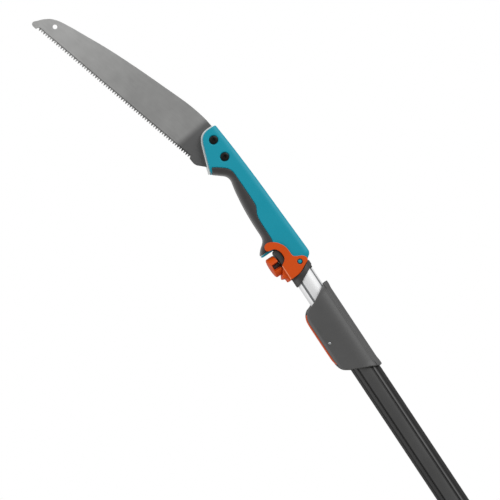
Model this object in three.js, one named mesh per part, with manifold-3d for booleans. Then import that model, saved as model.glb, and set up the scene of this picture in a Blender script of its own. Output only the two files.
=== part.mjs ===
// Telescoping pole saw, millimetres, +Z up the pole to the blade.
// -X is the toothed, finger side, -Y the side with the bolt heads. The origin is the middle
// of the flat foot. The two tubes share the Z axis; the saw head is the fixed body, and the
// outer tube with its lock slides down away from it.
import * as THREE from 'three';
import { mergeVertices } from 'three/addons/utils/BufferGeometryUtils.js';
import Module from 'manifold-3d';

// Driving dimensions. Heights on the head and the lock are counted from the coupling datum.
const DATUM_Z = 1540;
const GAP = 0.3;
const TEETH = 70;
const FIRST_TOOTH = [-128.5, 508.5];
const LAST_TOOTH = [-46, 227];
const TOOTH_DEPTH = 4.2;
const BLADE_HALF = 0.7;
const HANG_HOLE = { x: -105, z: 500.2, radius: 3.5 };
const HOLDER_INNER = 1;
const HOLDER_OUTER = 8;
const HANDLE_HALF = 13;
const CAVITY_HALF = 9.5;
const HANDLE_ROUND = 1.5;
const GRIP_SKIN = 2.6;
const BOLT = { x: -2.4, heights: [230.2, 200.3], shank: 3, head: 6.5 };
const BOSS = { x: 4.2, z: 9, radius: 3, root: 12 };
const NUT_SEAT = { radius: 6.2, floor: 10.6 };
const BOLT_SEAT_FLOOR = -10.9;
const SCREW_SEAT_FLOOR = 10.7;
const CHEEK_INNER = 13.3;
const CHEEK_OUTER = 16.5;
const WALL = { outer: -22.3, inner: -18.7 };
const CORE_HALF = 13;
const COLLAR_RADIUS = 18.9;
const INNER_TUBE = { outer: 16.5, inner: 15.1, top: -2, bottom: -1500 };
const SLANT = { rise: 0.49, middle: -12.8 };
const OUTER_TUBE = { outer: 20, inner: 18.5, top: -60 };
const LOCK_STOPS = 6;
const STOP_PITCH = 260;
const KNOB = { z: 23.2, radius: 15.4, face: -36.2, back: -23, slot: 10 };
const PIVOT = { x: -26.6, z: -117, radius: 1.5 };
const LOCK_PIN_Z = -138;
const HOUSING_RADIUS = 23.5;
const HOUSING_LIP = 24.3;
const LEVER_HALF = 5.5;
const SLOT_HALF = 5.9;
const SEAM = 0.15;
const SCREW_HOLE = 1.9;
const SCREW_SEAT = 3.7;
const PAST = 30; // a reach beyond every outer face

const wasm = await Module();
wasm.setup();

const finish = (color, roughness, metalness = 0) =>
  new THREE.MeshStandardMaterial({ color, roughness, metalness });
const GROUND_STEEL = finish(0x969696, 0.35, 1);
const CAST_ALUMINIUM = finish(0xb9bdbc, 0.5, 1);
const TEAL_PLASTIC = finish(0x2090a8, 0.45);
const ORANGE_PLASTIC = finish(0xc84b14, 0.45);
const SOFT_GRIP = finish(0x3c3a3a, 0.8);
const DARK_PLASTIC = finish(0x4b4b4b, 0.6);
const BLACK_PLASTIC = finish(0x1c1c1c, 0.55);
const BLACK_STEEL = finish(0x161616, 0.4, 0.8);
const ZINC_STEEL = finish(0xb0b2b4, 0.35, 1);
const BRASS = finish(0xb08d4a, 0.35, 1);
const SILVER_TUBE = finish(0xd4d6d8, 0.3, 1);
const COATED_TUBE = finish(0x333333, 0.55, 0.1);
const RUBBER = finish(0x222222, 0.9);

// Turns a closed three.js geometry into a solid whose faces point out.
function solid(geometry) {
  const bare = new THREE.BufferGeometry();
  bare.setAttribute('position', geometry.getAttribute('position').clone());
  bare.setIndex(geometry.index);
  const merged = mergeVertices(bare, 1e-4);
  const place = merged.getAttribute('position').array;
  const corners = merged.index.array;
  const point = (i) => new THREE.Vector3().fromArray(place, i * 3);
  const triangles = [];
  let volume = 0;
  for (let i = 0; i < corners.length; i += 3) {
    const [a, b, c] = corners.slice(i, i + 3);
    if (a === b || b === c || c === a) continue;
    triangles.push([a, b, c]);
    volume += point(a).dot(point(b).cross(point(c)));
  }
  if (volume < 0) triangles.forEach((triangle) => triangle.reverse());
  const triVerts = new Uint32Array(triangles.flat());
  const vertProperties = new Float32Array(place);
  return new wasm.Manifold(new wasm.Mesh({ numProp: 3, vertProperties, triVerts }));
}

const join = (first, ...others) => others.reduce((sum, other) => sum.add(other), first);
const cut = (first, ...others) => others.reduce((rest, other) => rest.subtract(other), first);

// Outline from corners [x, z, radius], each corner rounded by its own radius.
function outline(corners) {
  const shape = new THREE.Shape();
  corners.forEach(([x, z, radius = 0], i) => {
    const corner = new THREE.Vector2(x, z);
    const towards = (j) => {
      const [nx, nz] = corners[(j + corners.length) % corners.length];
      const way = new THREE.Vector2(nx, nz).sub(corner);
      const reach = Math.min(radius, way.length() * 0.48);
      return corner.clone().add(way.setLength(reach));
    };
    const before = radius ? towards(i - 1) : corner;
    if (i === 0) shape.moveTo(before.x, before.y);
    else shape.lineTo(before.x, before.y);
    if (radius) {
      const after = towards(i + 1);
      shape.quadraticCurveTo(x, z, after.x, after.y);
    }
  });
  return shape;
}

// Moves every side of a clockwise outline out by a distance, or in when it is negative.
function offset(corners, distance) {
  return corners.map(([x, z, radius], i) => {
    const corner = new THREE.Vector2(x, z);
    const [px, pz] = corners[(i + corners.length - 1) % corners.length];
    const [nx, nz] = corners[(i + 1) % corners.length];
    const into = corner.clone().sub(new THREE.Vector2(px, pz)).normalize();
    const out = new THREE.Vector2(nx, nz).sub(corner).normalize();
    const side = new THREE.Vector2(-into.y - out.y, into.x + out.x).normalize();
    const miter = distance / Math.max(0.4, side.dot(new THREE.Vector2(-into.y, into.x)));
    corner.addScaledVector(side, miter);
    return [corner.x, corner.y, radius];
  });
}

// A plate drawn in X and Z, with its thickness along Y and, if asked, rounded rims.
function plate(shape, low, high, round = 0) {
  const geometry = new THREE.ExtrudeGeometry(shape, {
    depth: high - low - 2 * round,
    bevelEnabled: round > 0,
    bevelThickness: round,
    bevelSize: round,
    bevelOffset: -round,
    bevelSegments: 1,
    curveSegments: 3,
  });
  geometry.translate(0, 0, round - high);
  geometry.rotateX(Math.PI / 2);
  return solid(geometry);
}

// A bar drawn in X and Y, standing along Z.
function column(shape, bottom, top) {
  const depth = top - bottom;
  const geometry = new THREE.ExtrudeGeometry(shape, { depth, bevelEnabled: false });
  geometry.translate(0, 0, bottom);
  return solid(geometry);
}

// A turned piece from [radius, height] points, which start and end on the axis or close.
function turned(profile, axis = 'z', sides = 20) {
  const points = profile.map(([radius, height]) => new THREE.Vector2(radius, height));
  const geometry = new THREE.LatheGeometry(points, sides);
  if (axis === 'z') geometry.rotateX(Math.PI / 2);
  if (axis === 'x') geometry.rotateZ(-Math.PI / 2);
  return solid(geometry);
}

const ring = (inner, outer, low, high) =>
  [[inner, low], [outer, low], [outer, high], [inner, high], [inner, low]];

// A plain round bar along one axis, from one place to another, centred on two others.
function rod(axis, radius, low, high, first = 0, second = 0, sides = 12) {
  const geometry = new THREE.CylinderGeometry(radius, radius, high - low, sides);
  geometry.translate(0, (low + high) / 2, 0);
  if (axis === 'x') geometry.rotateZ(-Math.PI / 2).translate(0, first, second);
  if (axis === 'y') geometry.translate(first, 0, second);
  if (axis === 'z') geometry.rotateX(Math.PI / 2).translate(first, second, 0);
  return solid(geometry);
}

function block(low, high) {
  const size = high.map((value, i) => value - low[i]);
  const geometry = new THREE.BoxGeometry(...size);
  geometry.translate(...high.map((value, i) => (value + low[i]) / 2));
  return solid(geometry);
}

function turn(shape, axis, angle) {
  const mesh = shape.getMesh();
  const geometry = new THREE.BufferGeometry();
  const place = new THREE.BufferAttribute(new Float32Array(mesh.vertProperties), 3);
  geometry.setAttribute('position', place);
  geometry.setIndex(Array.from(mesh.triVerts));
  geometry[`rotate${axis}`](angle);
  return solid(geometry);
}

const group = new THREE.Group();
const upper = new THREE.Group();
upper.position.z = DATUM_Z;
group.add(upper);

function place(name, shape, material, parent = upper) {
  const mesh = shape.getMesh();
  const geometry = new THREE.BufferGeometry();
  const points = new THREE.BufferAttribute(new Float32Array(mesh.vertProperties), 3);
  geometry.setAttribute('position', points);
  geometry.setIndex(Array.from(mesh.triVerts));
  geometry.computeVertexNormals();
  const node = new THREE.Mesh(geometry, material);
  node.name = name;
  parent.add(node);
}

const nearHalf = (shape) => shape.intersect(block([-150, -30, -250], [60, -SEAM, 560]));
const farHalf = (shape) => shape.intersect(block([-150, SEAM, -250], [60, 30, 560]));

// Blade: ground steel strip with a rounded, convex back, a storage hole and a tang.
function bladeShape() {
  const start = new THREE.Vector2(...FIRST_TOOTH);
  const along = new THREE.Vector2(...LAST_TOOTH).sub(start);
  const inward = new THREE.Vector2(-along.y, along.x).setLength(TOOTH_DEPTH);
  const back = new THREE.SplineCurve([
    [8.8, 246], [6.2, 265], [-2.1, 295], [-19.5, 340], [-38, 386], [-57.2, 430],
    [-73, 462], [-84, 484], [-91.6, 498], [-97.2, 506.6], [-104.5, 514], [-113.5, 519.1],
    [-122, 522],
  ].map(([x, z]) => new THREE.Vector2(x, z)));
  const shape = new THREE.Shape();
  shape.moveTo(-33.4, 204);
  shape.lineTo(-22, 193.5);
  shape.lineTo(4, 191);
  shape.lineTo(8, 196);
  for (const point of back.getPoints(39)) shape.lineTo(point.x, point.y);
  shape.lineTo(-127.5, 524.2);
  shape.quadraticCurveTo(-132, 524, -132, 519);
  shape.lineTo(-131, 514.6);
  shape.quadraticCurveTo(-130.8, 513, -129, 513);
  for (let i = 0; i <= TEETH; i += 1) {
    const gullet = start.clone().addScaledVector(along, (i - 0.5) / TEETH).add(inward);
    const tip = start.clone().addScaledVector(along, i / TEETH);
    shape.lineTo(gullet.x, gullet.y);
    shape.lineTo(tip.x, tip.y);
  }
  shape.quadraticCurveTo(-45.8, 215.6, -42.4, 212.4);
  shape.closePath();
  return shape;
}

const boltHoles = () => BOLT.heights.map((z) =>
  rod('y', BOLT.shank + 0.4, -PAST, PAST, BOLT.x, z));

const hangHole = rod('y', HANG_HOLE.radius, -5, 5, HANG_HOLE.x, HANG_HOLE.z, 28);
const blade = plate(bladeShape(), -BLADE_HALF, BLADE_HALF);
place('blade', cut(blade, hangHole, ...boltHoles()), GROUND_STEEL);

// Blade holder: two cast cheeks that clamp the tang and edge the handle's mouth.
const HOLDER = [
  [-5, 249.6, 5], [9, 249.6, 2], [10, 236, 3], [9.4, 190, 3], [4, 186, 3],
  [-12, 186.4, 3], [-24, 190.6, 3], [-35.2, 191.2, 0.8], [-32.5, 200.3, 3],
  [-26.9, 216.6, 5], [-19, 238.2, 6], [-13.4, 246, 5],
];
for (const [name, low, high] of [
  ['blade_holder_near', -HOLDER_OUTER, -HOLDER_INNER],
  ['blade_holder_far', HOLDER_INNER, HOLDER_OUTER],
]) {
  place(name, cut(plate(outline(HOLDER), low, high), ...boltHoles()), CAST_ALUMINIUM);
}

// Handle: two hollow shells with a soft skin moulded over each on the finger side.
const HANDLE_SIDES = [
  [16.6, 206, 20], [20.5, 142, 20], [22.4, 94, 20], [25.5, 22, 8], [25.6, 12.4, 5],
  [18.6, 6.8, 4], [8, 1.5, 4], [0, 0.5, 4], [-7.5, 2, 5], [-7.5, 41, 3], [-13, 44, 3],
  [-37.4, 44, 2], [-38.4, 49.5, 2.5], [-33, 56.2, 5], [-23, 63.6, 6], [-21, 71, 6],
  [-21.1, 96, 16], [-19.3, 124, 14], [-15.8, 150, 8], [-12, 167, 5], [-14.4, 174.6, 5],
];
const HANDLE_MOUTH = [
  [-33.9, 190.4, 1], [-30.7, 200, 3], [-24.9, 216, 5], [-17.2, 237, 6], [-12.2, 244, 5],
  [-4.2, 247.5, 4], [12.8, 247.5, 2],
];
const UNCUT_MOUTH = [[-44, 199, 6], [-30, 236, 6], [-14, 256, 6], [12, 256, 2]];
const HANDLE = [...HANDLE_SIDES, ...HANDLE_MOUTH];
const GRIP_ZONE = [
  [-28.2, 197.5, 1.5], [-21.2, 193.4, 6], [-7.8, 183, 7], [-4.4, 175, 6], [-3.7, 130, 10],
  [-4, 113.5, 4], [-11, 101.5, 6], [-12, 90, 6], [-12.2, 59, 5], [-16, 50.6, 5],
  [-25, 47.6, 6], [-45, 46.9], [-45, 170], [-33, 182],
];
const CAVITY = [
  [-4, 160, 3], [9, 166, 3], [15.5, 62, 3], [-5, 66, 3], [-12.5, 80, 3], [-11, 110, 3],
  [-7.5, 140, 3],
];
const SHELL_SCREWS = [[3, 152], [1, 108], [5, 73]];
const roundedHandle = plate(
  outline([...HANDLE_SIDES, ...UNCUT_MOUTH]), -HANDLE_HALF, HANDLE_HALF, HANDLE_ROUND);
const coreOutline = (extra) => outline(offset(HANDLE, extra - GRIP_SKIN));
const core = (extra) =>
  plate(coreOutline(extra), -HANDLE_HALF + GRIP_SKIN - extra, HANDLE_HALF - GRIP_SKIN + extra);
const handle = roundedHandle.intersect(plate(outline(HANDLE), -PAST, PAST));
const gripBed = cut(plate(outline(GRIP_ZONE), -PAST, PAST), core(0));
const skin = handle.intersect(plate(outline(offset(GRIP_ZONE, -GAP)), -PAST, PAST));
const grip = cut(skin, core(GAP));
const holderPocket = plate(outline(offset(HOLDER, GAP)), -HOLDER_OUTER - GAP, HOLDER_OUTER + GAP);
const cavity = plate(outline(CAVITY), -CAVITY_HALF, CAVITY_HALF);
const screwPosts = SHELL_SCREWS.map(([x, z]) => rod('y', 4, -10, 10, x, z, 16));
const hollow = cut(cavity, ...screwPosts);
const screwHoles = SHELL_SCREWS.map(([x, z]) => rod('y', SCREW_HOLE, -8.6, PAST, x, z, 12));
const handleBody = cut(handle, gripBed, holderPocket, hollow, ...boltHoles(), ...screwHoles);
const boltSeats = BOLT.heights.map((z) => rod('y', BOLT.head + GAP, -PAST, BOLT_SEAT_FLOOR, BOLT.x, z, 28));
const nutSeats = BOLT.heights.map((z) => rod('y', NUT_SEAT.radius, NUT_SEAT.floor, PAST, BOLT.x, z, 6));
const screwSeats = SHELL_SCREWS.map(([x, z]) => rod('y', SCREW_SEAT, SCREW_SEAT_FLOOR, PAST, x, z, 16));
const bossNear = rod('y', BOSS.radius, -CHEEK_OUTER + 0.1, -BOSS.root, BOSS.x, BOSS.z);
const bossFar = rod('y', BOSS.radius, BOSS.root, CHEEK_OUTER - 0.1, BOSS.x, BOSS.z);
const nearShell = join(cut(nearHalf(handleBody), ...boltSeats), bossNear);
const farShell = join(cut(farHalf(handleBody), ...nutSeats, ...screwSeats), bossFar);
place('handle_shell_near', nearShell, TEAL_PLASTIC);
place('handle_shell_far', farShell, TEAL_PLASTIC);
place('grip_near', nearHalf(grip), SOFT_GRIP);
place('grip_far', farHalf(grip), SOFT_GRIP);

// Blade bolts: button heads with a hex socket, and their nuts on the far side.
BOLT.heights.forEach((z, i) => {
  const level = ['upper', 'lower'][i];
  const bolt = turned([
    [0, -14.4], [4.6, -14.4], [6, -13.7], [BOLT.head, -12.4], [BOLT.head, -11.2],
    [BOLT.shank, -11.2], [BOLT.shank, 13.4], [2.6, 13.8], [0, 13.8],
  ], 'y', 24);
  const socket = rod('y', 2.4, -PAST, -12, 0, 0, 6);
  const nut = cut(rod('y', 5.8, 10.9, 14, 0, 0, 6), rod('y', BOLT.shank + GAP, 5, 20));
  const at = new THREE.Group();
  at.position.set(BOLT.x, 0, z);
  upper.add(at);
  place(`blade_bolt_${level}`, cut(bolt, socket), BLACK_STEEL, at);
  place(`blade_nut_${level}`, nut, ZINC_STEEL, at);
});

// A pan-head screw driven in from the far side, with its head's seat at one height.
function farScrew(name, x, z, seat, tip, radius = 1.6) {
  const screw = turned([
    [0, tip - 1.5], [radius, tip], [radius, seat], [radius * 2, seat],
    [radius * 2, seat + 1], [radius * 1.4, seat + 2], [0, seat + 2.2],
  ], 'y', 12);
  const slotted = cut(screw, block([-2, seat + 1.2, -0.4], [2, seat + 4, 0.4]));
  const at = new THREE.Group();
  at.position.set(x, 0, z);
  upper.add(at);
  place(name, slotted, ZINC_STEEL, at);
}
SHELL_SCREWS.forEach(([x, z], i) => farScrew(`shell_screw_${i + 1}`, x, z, 11, -6.5));

// Coupling bracket: two cheeks joined by a finger-side wall with two grip fins.
const CHEEK = [
  [-30.4, 52.5, 5], [-26.6, 58.3, 5], [-20, 58.6, 5], [-9.6, 52.7, 6], [-0.6, 39, 8],
  [-0.6, 22.2, 4], [3.4, 18.6, 4], [12.8, 14.6, 4], [16.6, 9, 4], [16.2, 4.4, 3],
  [8.4, 1, 6], [2.4, -2.5, 6], [-5.6, -5.6, 6], [-12, -6.4, 4], [-22.3, -6.6, 0.6],
  [-22.3, 18, 1], [-13.4, 23.4, 3], [-11.4, 29, 5], [-12.4, 38, 6], [-17.4, 45.6, 5],
  [-28.4, 47, 5],
];
const FIN = [
  [-19, 16.6], [-21.8, 16.6, 1], [-30, 2.8, 1], [-30, 0.6, 0.8], [-25.2, -1.2, 0.6],
  [-24.8, -7.4, 0.8], [-23.4, -7.6, 0.6], [-21.5, -6.6], [-19, -6.4],
];
const BRACKET_SCREWS = [[-13.5, -1.5], [-15.6, 12.6]];
const fingerWall = block([WALL.outer, -CHEEK_OUTER, -6.5], [WALL.inner, CHEEK_OUTER, 16.8]);
const fins = cut(
  plate(outline(FIN), -13.5, 13.5),
  rod('x', KNOB.radius + 0.8, -50, WALL.outer, 0, KNOB.z, 32),
);
const bracket = cut(
  join(
    plate(outline(CHEEK), -CHEEK_OUTER, -CHEEK_INNER),
    plate(outline(CHEEK), CHEEK_INNER, CHEEK_OUTER),
    fingerWall,
    fins,
  ),
  rod('y', BOSS.radius + 1.2, -PAST, PAST, BOSS.x, BOSS.z, 24),
  ...BRACKET_SCREWS.map(([x, z]) => rod('y', SCREW_HOLE, 12, PAST, x, z, 12)),
);
place('coupling_bracket', bracket, ORANGE_PLASTIC);
BRACKET_SCREWS.forEach(([x, z], i) => {
  farScrew(`bracket_screw_${i + 1}`, x, z, CHEEK_OUTER + 0.1, 4);
});

// End plug: core between the cheeks, a slanted collar round the tube and a spigot inside it.
const PLUG_CORE = [
  [-21, 19, 1], [-21, 39, 5], [-19, 43.3, 2], [-15.6, 43.3, 2], [-12.3, 37, 3],
  [-12.3, 14, 4], [-8.4, 7, 2], [-7.4, 0.4, 3], [0, -0.8, 3], [8.2, 0.2, 4],
  [16, 5, 1], [16, -8], [-18.4, -8], [-18.4, 18.4],
];
const COLLAR_TOP = [
  [-22, -7.4], [-12, -7, 4], [-5.6, -6.2, 6], [2.4, -3.1, 6], [8.4, 0.4, 6], [16.2, 3.8, 2],
  [22, 4.4],
];
const below = (lift, depth = -60) => plate(outline([
  [-40, SLANT.middle - 40 * SLANT.rise + lift], [40, SLANT.middle + 40 * SLANT.rise + lift],
  [40, depth], [-40, depth],
]), -30, 30);
const underCheeks = plate(outline([...COLLAR_TOP, [22, -60], [-22, -60]]), -PAST, PAST);
const collar = cut(rod('z', COLLAR_RADIUS, -30, 10, 0, 0, 32).intersect(underCheeks), below(0));
const plugCore = plate(outline(PLUG_CORE), -CORE_HALF, CORE_HALF).intersect(
  join(rod('z', COLLAR_RADIUS, -10, 4, 0, 0, 32), block([-40, -20, 4], [40, 20, 60])),
);
const tubeSeat = turned(ring(INNER_TUBE.inner - GAP, INNER_TUBE.outer + GAP, -60, -1.7), 'z', 32)
  .intersect(below(6 + GAP));
const spigot = rod('z', INNER_TUBE.inner - GAP, -45, -3, 0, 0, 32).intersect(underCheeks);
const plug = cut(
  join(collar, plugCore, spigot),
  tubeSeat,
  rod('x', 6.3, -30, -16.4, 0, KNOB.z, 24),
  rod('x', 6.4, -16.5, -5, 0, KNOB.z, 24),
  ...BRACKET_SCREWS.map(([x, z]) => rod('y', SCREW_HOLE, 2, PAST, x, z, 12)),
  rod('y', SCREW_HOLE, 5, PAST, 0, -28, 12),
);
place('end_plug', plug, DARK_PLASTIC);
farScrew('plug_screw', 0, -28, INNER_TUBE.outer + 0.2, 8);

// Clamp screw: brass insert in the plug, steel stud, black hub, orange knob and the pad.
const onScrewAxis = new THREE.Group();
onScrewAxis.position.z = KNOB.z;
upper.add(onScrewAxis);
place('thread_insert', turned(ring(4.3, 6, -21, -16.7), 'x', 20), BRASS, onScrewAxis);
place('clamp_stud', turned([
  [0, -32.4], [3.4, -32.4], [4, -31.8], [4, -12.9], [3.4, -12.3], [0, -12.3],
], 'x', 20), ZINC_STEEL, onScrewAxis);
place('knob_hub', turned([
  [0, -33.2], [6.2, -33.2], [6.2, -21.8], [4.3, -21.8], [4.3, -32.7], [0, -32.7],
], 'x', 20), BLACK_PLASTIC, onScrewAxis);
place('clamp_pad', turned([
  [0, -12], [4.6, -12], [6, -11], [6, -8.6], [5.4, -8], [0, -8],
], 'x', 20), BLACK_PLASTIC, onScrewAxis);
const knobBody = turned([
  [0, KNOB.face], [KNOB.radius - 2.4, KNOB.face], [KNOB.radius - 0.7, KNOB.face + 0.8],
  [KNOB.radius, KNOB.face + 2.4], [KNOB.radius, KNOB.back - 1.6],
  [KNOB.radius - 1.4, KNOB.back], [0, KNOB.back],
], 'x', 32);
const knobSlot = block([-34.6, -PAST, -KNOB.slot / 2], [-20, -6, KNOB.slot / 2]);
const knobSlots = [0, 1, 2].map((i) => turn(knobSlot, 'X', (i * 2 * Math.PI) / 3));
const knob = cut(knobBody, rod('x', 6.5, -33.5, -20), ...knobSlots);
place('thumb_knob', knob, ORANGE_PLASTIC, onScrewAxis);

// A tube's section, with straight grooves down it at angles counted from -Y towards +X.
function tubeSection(tube, grooves, sides = 32) {
  const shape = new THREE.Shape();
  shape.absarc(0, 0, tube.outer, 0, 2 * Math.PI);
  const hole = new THREE.Path();
  hole.absarc(0, 0, tube.inner, 0, 2 * Math.PI, true);
  shape.holes.push(hole);
  const geometry = new THREE.ExtrudeGeometry(shape, {
    depth: tube.top - tube.bottom,
    bevelEnabled: false,
    curveSegments: sides,
  });
  geometry.translate(0, 0, tube.bottom);
  const cutters = grooves.map(({ angle, width, depth }) => {
    const cutter = block(
      [-width / 2, -tube.outer - 2, tube.bottom - 5],
      [width / 2, -tube.outer + depth, tube.top + 5],
    );
    return turn(cutter, 'Z', THREE.MathUtils.degToRad(angle));
  });
  return cut(solid(geometry), ...cutters);
}

// Inner tube: anodised, with four guide grooves and a row of lock holes on the finger side.
const GUIDE_GROOVES = [-41, 49, 139, 229].map((angle) => ({ angle, width: 3, depth: 0.9 }));
const lockHoles = Array.from({ length: LOCK_STOPS }, (_, i) =>
  rod('x', 4, -25, -10, 0, LOCK_PIN_Z - i * STOP_PITCH, 12));
const SLIDER_PIN_Z = -1484;
const innerTube = cut(
  tubeSection(INNER_TUBE, GUIDE_GROOVES).intersect(below(6, INNER_TUBE.bottom - 1)),
  ...lockHoles,
  rod('y', SCREW_HOLE, 10, 25, 0, -28, 12),
  rod('y', 1.8, -25, 25, 0, SLIDER_PIN_Z, 12),
);
place('inner_tube', innerTube, SILVER_TUBE);

// Slider at the inner tube's lower end: it centres the tube and closes it.
const end = INNER_TUBE.bottom;
const slider = cut(
  turned([
    [0, end - 4], [17, end - 4], [18.2, end - 2.8], [18.2, end + 50], [16.8, end + 50],
    [16.8, end - GAP], [14.8, end - GAP], [14.8, end + 28], [0, end + 28],
  ], 'z', 32),
  rod('y', 1.8, -25, 25, 0, SLIDER_PIN_Z, 12),
);
place('slider_bush', slider, BLACK_PLASTIC);
place('slider_pin', rod('y', 1.5, -17.8, 17.8, 0, SLIDER_PIN_Z, 12), ZINC_STEEL);

// Outer tube: plastic-coated, with a raised band on two sides, each between two grooves.
const OUTER_LINES = [-39, 15, 141, 195].map((angle) => ({ angle, width: 2.4, depth: 0.7 }));
const outerBottom = 4.3 - DATUM_Z;
const outerTube = cut(
  tubeSection({ ...OUTER_TUBE, bottom: outerBottom }, OUTER_LINES),
  rod('x', 3.4, -30, -10, 0, LOCK_PIN_Z, 16),
);
place('outer_tube', outerTube, COATED_TUBE);

// Guide bush in the outer tube's mouth, with keys that run in the inner tube's grooves.
const bushSleeve = turned([
  [16.8, -118], [18.2, -118], [18.2, -59.7], [19.9, -59.7], [19.9, -57.6], [16.8, -57.6],
  [16.8, -118],
], 'z', 32);
const keys = GUIDE_GROOVES.map(({ angle }) =>
  turn(block([-0.8, -17.2, -118], [0.8, -16.1, -57.6]), 'Z', THREE.MathUtils.degToRad(angle)));
place('guide_bush', join(bushSleeve, ...keys), BLACK_PLASTIC);

// Lock housing: two shells round the tube, drawn out into a nose that carries the lever.
function around(circles, steps = 32) {
  const points = circles.flatMap(([x, y, radius]) =>
    Array.from({ length: steps }, (_, i) => {
      const angle = (i / steps) * 2 * Math.PI;
      return new THREE.Vector2(x + radius * Math.cos(angle), y + radius * Math.sin(angle));
    }));
  points.sort((a, b) => a.x - b.x || a.y - b.y);
  const chain = (list) => list.reduce((kept, next) => {
    const bends = () => {
      const [a, b] = kept.slice(-2);
      return b.clone().sub(a).cross(next.clone().sub(b)) > 1e-6;
    };
    while (kept.length > 1 && !bends()) kept.pop();
    kept.push(next);
    return kept;
  }, []);
  const lower = chain(points);
  const higher = chain(points.slice().reverse());
  return new THREE.Shape([...lower.slice(0, -1), ...higher.slice(0, -1)]);
}
const HOUSING_SIDE = [
  [17, -37, 1], [25, -36.4, 1.2], [25, -185, 1.5], [18.6, -185.6, 2], [-18, -168.4, 4],
  [-29, -161.4, 5], [-33.4, -152.6, 6], [-35, -140, 8], [-35, -78, 8], [-33.4, -67, 6],
  [-26, -58, 6], [-16, -55.4, 3],
];
const NOSE = { x: -25.4, y: 4.5, radius: 9.6 };
const HOUSING_SCREWS = [[-23.4, -72], [-23.4, -95], [-23.4, -156]];
const housingSection = around([
  [0, 0, HOUSING_RADIUS], [NOSE.x, NOSE.y, NOSE.radius], [NOSE.x, -NOSE.y, NOSE.radius],
]);
const topLip = turned([[0, -52], [HOUSING_RADIUS - 0.4, -52], [HOUSING_LIP, -43],
  [HOUSING_LIP, -30], [0, -30]], 'z', 32);
const lowLip = turned([[0, -190], [HOUSING_LIP, -190], [HOUSING_LIP, -179],
  [HOUSING_RADIUS - 0.4, -168], [0, -168]], 'z', 32);
const housingBlank = join(column(housingSection, -190, -30), topLip, lowLip);
const leverSlot = block([-40, -SLOT_HALF, -152], [-25.4, SLOT_HALF, -61]);
const pressRoom = block([-30, -SLOT_HALF, -74], [-22.8, SLOT_HALF, -62]);
const springRoom = block([-26, -SLOT_HALF, -128], [-21.6, SLOT_HALF, -106]);
const pinRoom = block([-26, -5, -144], [-19, 5, -132]);
const housing = cut(
  housingBlank.intersect(plate(outline(HOUSING_SIDE), -PAST, PAST)),
  rod('z', OUTER_TUBE.outer + GAP, -200, -57.3, 0, 0, 32),
  rod('z', INNER_TUBE.outer + 0.5, -60, 0, 0, 0, 32),
  leverSlot,
  pressRoom,
  springRoom,
  pinRoom,
  rod('y', PIVOT.radius + GAP, -PAST, PAST, PIVOT.x, PIVOT.z, 16),
  ...HOUSING_SCREWS.map(([x, z]) => rod('y', 1.8, -10.6, PAST, x, z, 12)),
  ...HOUSING_SCREWS.map(([x, z]) => rod('y', 3.5, 9.7, PAST, x, z, 16)),
);
place('lock_housing_near', nearHalf(housing), DARK_PLASTIC);
place('lock_housing_far', farHalf(housing), DARK_PLASTIC);
HOUSING_SCREWS.forEach(([x, z], i) => farScrew(`housing_screw_${i + 1}`, x, z, 10, -8.5, 1.5));

// Release lever on its pivot pin, with the return spring and the lock pin that it draws.
const LEVER = [
  [-30.2, -62.8, 0.8], [-27.8, -65.6, 0.8], [-31, -71.4, 5], [-32.2, -79, 6],
  [-32.2, -108, 3], [-28.6, -112.4, 3], [-23.2, -112.6, 3], [-22, -117, 4],
  [-23.2, -121.4, 3], [-28.6, -121.6, 3], [-31.6, -126, 3], [-31.6, -133.4, 1],
  [-27.4, -133.4, 0.6], [-27.4, -142.6, 0.6], [-31.4, -142.6, 1], [-31, -149.6, 0.8],
  [-32.9, -149.8, 0.8], [-34.9, -145, 5], [-35.6, -138, 8], [-35.6, -78, 8], [-34.4, -68.4, 5],
];
const lever = cut(
  plate(outline(LEVER), -LEVER_HALF, LEVER_HALF),
  rod('y', PIVOT.radius + GAP, -PAST, PAST, PIVOT.x, PIVOT.z, 16),
  block([-32, -4, -124], [-20, 4, -110]),
  rod('x', 2.9, -32.5, -20, 0, LOCK_PIN_Z, 16),
  rod('x', 4.6, -33.8, -31, 0, LOCK_PIN_Z, 20),
);
place('release_lever', lever, ORANGE_PLASTIC);
place('lever_pin', rod('y', PIVOT.radius, -14.4, 14.4, PIVOT.x, PIVOT.z, 16), ZINC_STEEL);
const lockPin = turned([
  [0, -33.2], [3.6, -33.2], [3.6, -31.8], [2.1, -31.8], [2.1, -26.6], [3, -26.6],
  [3, -18], [2.2, -16.9], [0, -16.9],
], 'x', 20);
const atLockPin = new THREE.Group();
atLockPin.position.z = LOCK_PIN_Z;
upper.add(atLockPin);
place('lock_pin', lockPin, ZINC_STEEL, atLockPin);

// Torsion spring: three coils round the pivot pin and two straight legs.
class SpringWire extends THREE.Curve {
  getPoint(t) {
    const coils = 3;
    const radius = 2.9;
    const leg = 0.16;
    const inner = THREE.MathUtils.clamp((t - leg) / (1 - 2 * leg), 0, 1);
    const angle = inner * coils * 2 * Math.PI;
    const y = -2.6 + 5.2 * inner;
    const x = PIVOT.x + radius * Math.cos(angle);
    const z = PIVOT.z + radius * Math.sin(angle);
    if (t < leg) return new THREE.Vector3(x, y, z - (leg - t) * 60);
    if (t > 1 - leg) return new THREE.Vector3(x, y, z + (t - 1 + leg) * 60);
    return new THREE.Vector3(x, y, z);
  }
}
const wire = new THREE.Shape();
wire.absarc(0, 0, 0.4, 0, 2 * Math.PI);
const spring = new THREE.ExtrudeGeometry(wire, {
  steps: 48,
  curveSegments: 3,
  extrudePath: new SpringWire(),
});
place('lever_spring', solid(spring), ZINC_STEEL);

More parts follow.
